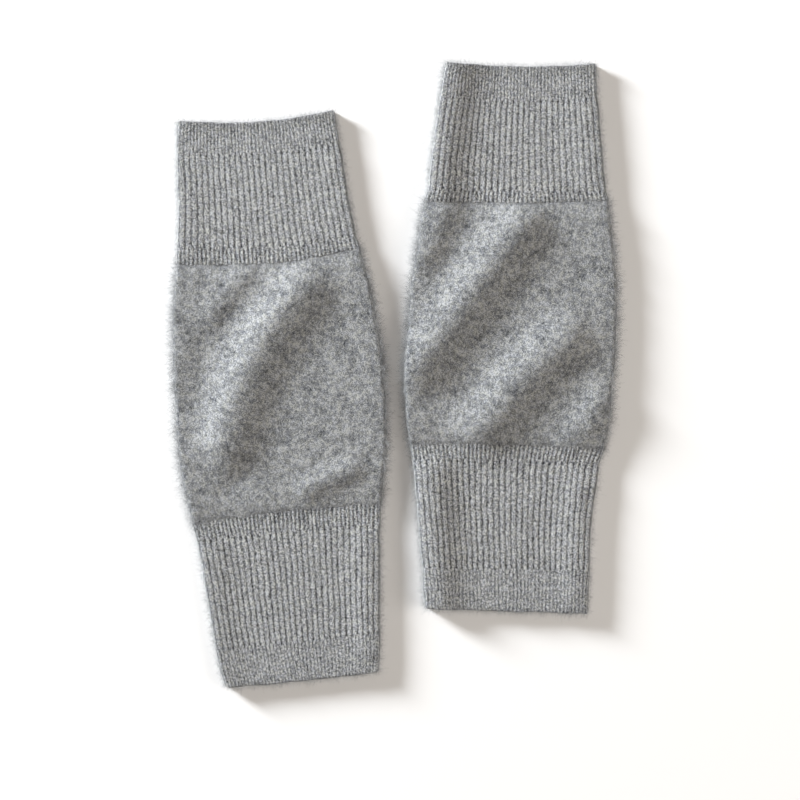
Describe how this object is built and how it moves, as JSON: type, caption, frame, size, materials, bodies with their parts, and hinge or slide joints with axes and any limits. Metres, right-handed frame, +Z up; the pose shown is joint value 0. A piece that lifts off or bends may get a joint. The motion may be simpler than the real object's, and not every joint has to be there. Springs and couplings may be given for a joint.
{
  "type": "pair of leg warmers",
  "caption": "Pair of tubular knitted leg warmers laid flat side by side, each with a brushed plain body between two ribbed cuffs.",
  "frame": {"origin": "under the middle of the pair's outline, on the surface that it lies on", "axes": "+Y towards the upper cuffs, +X across the pair from the left warmer to the right one, +Z up from the surface"},
  "size_m": [0.2661, 0.3739, 0.0105],
  "materials": {
    "rib_knit": "matte grey marl wool, rib knit",
    "brushed_knit": "matte grey marl wool, plain knit with a soft brushed nap"
  },
  "bodies": {
    "root": {"left_upper_cuff": "rib_knit", "left_body": "brushed_knit", "left_lower_cuff": "rib_knit", "right_upper_cuff": "rib_knit", "right_body": "brushed_knit", "right_lower_cuff": "rib_knit"}
  },
  "joints": []
}
